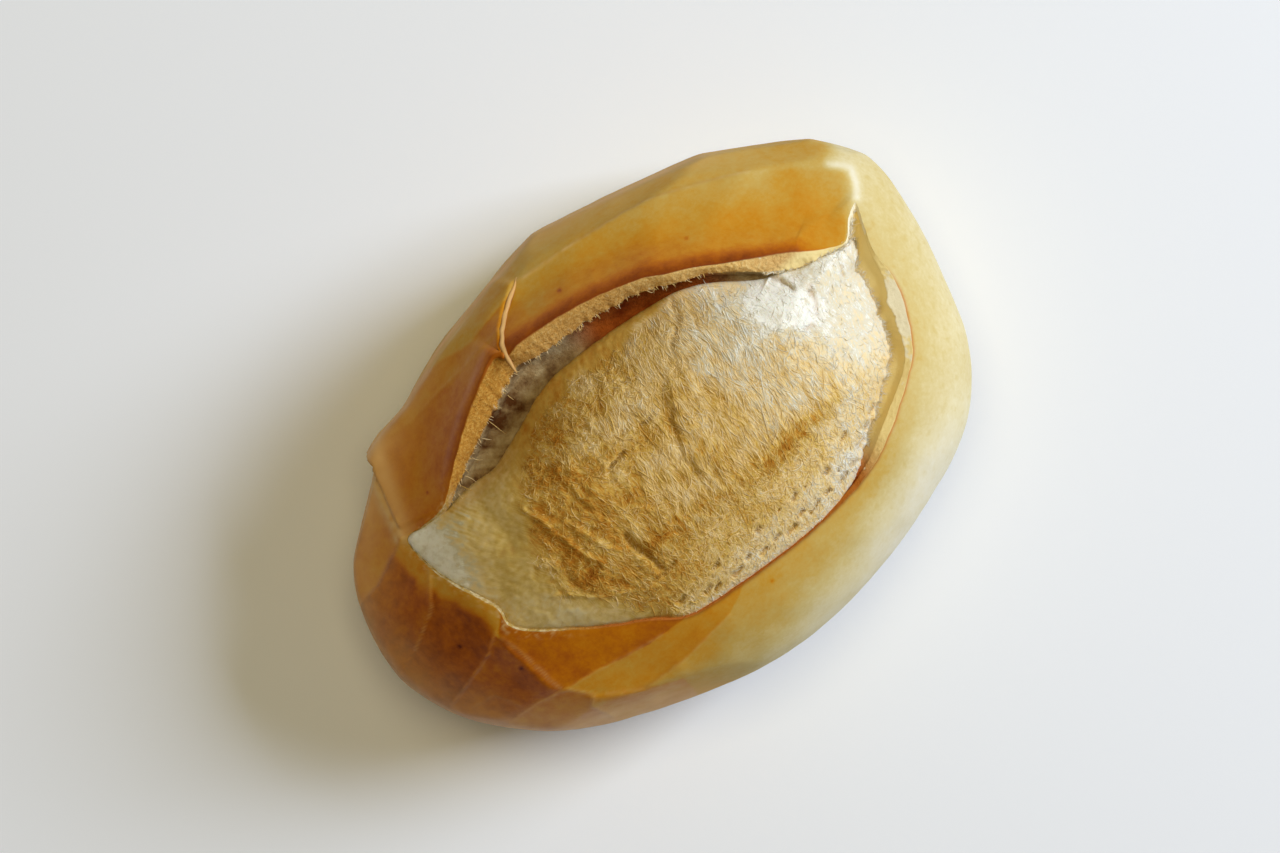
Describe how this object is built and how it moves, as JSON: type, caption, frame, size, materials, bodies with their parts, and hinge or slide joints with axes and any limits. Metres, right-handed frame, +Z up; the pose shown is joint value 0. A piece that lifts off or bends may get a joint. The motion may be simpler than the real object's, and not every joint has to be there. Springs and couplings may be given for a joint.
{
  "type": "bread roll",
  "caption": "Oval crusty bread roll with a burst split: raised torn flap of crust along one side and pale fibrous crumb swelling out of it.",
  "frame": {"origin": "middle of the flat underside, at the centre of the roll's outline", "axes": "+X along the roll, away from the end with the dark crust plates; +Y across it, towards the raised flap; +Z up"},
  "size_m": [0.1168, 0.0817, 0.054],
  "materials": {
    "crust": "satin baked crust, golden to red-brown",
    "crumb": "matt, torn and fibrous, cream with toasted ridges"
  },
  "bodies": {
    "root": {"bread_roll": "crust"}
  },
  "joints": []
}
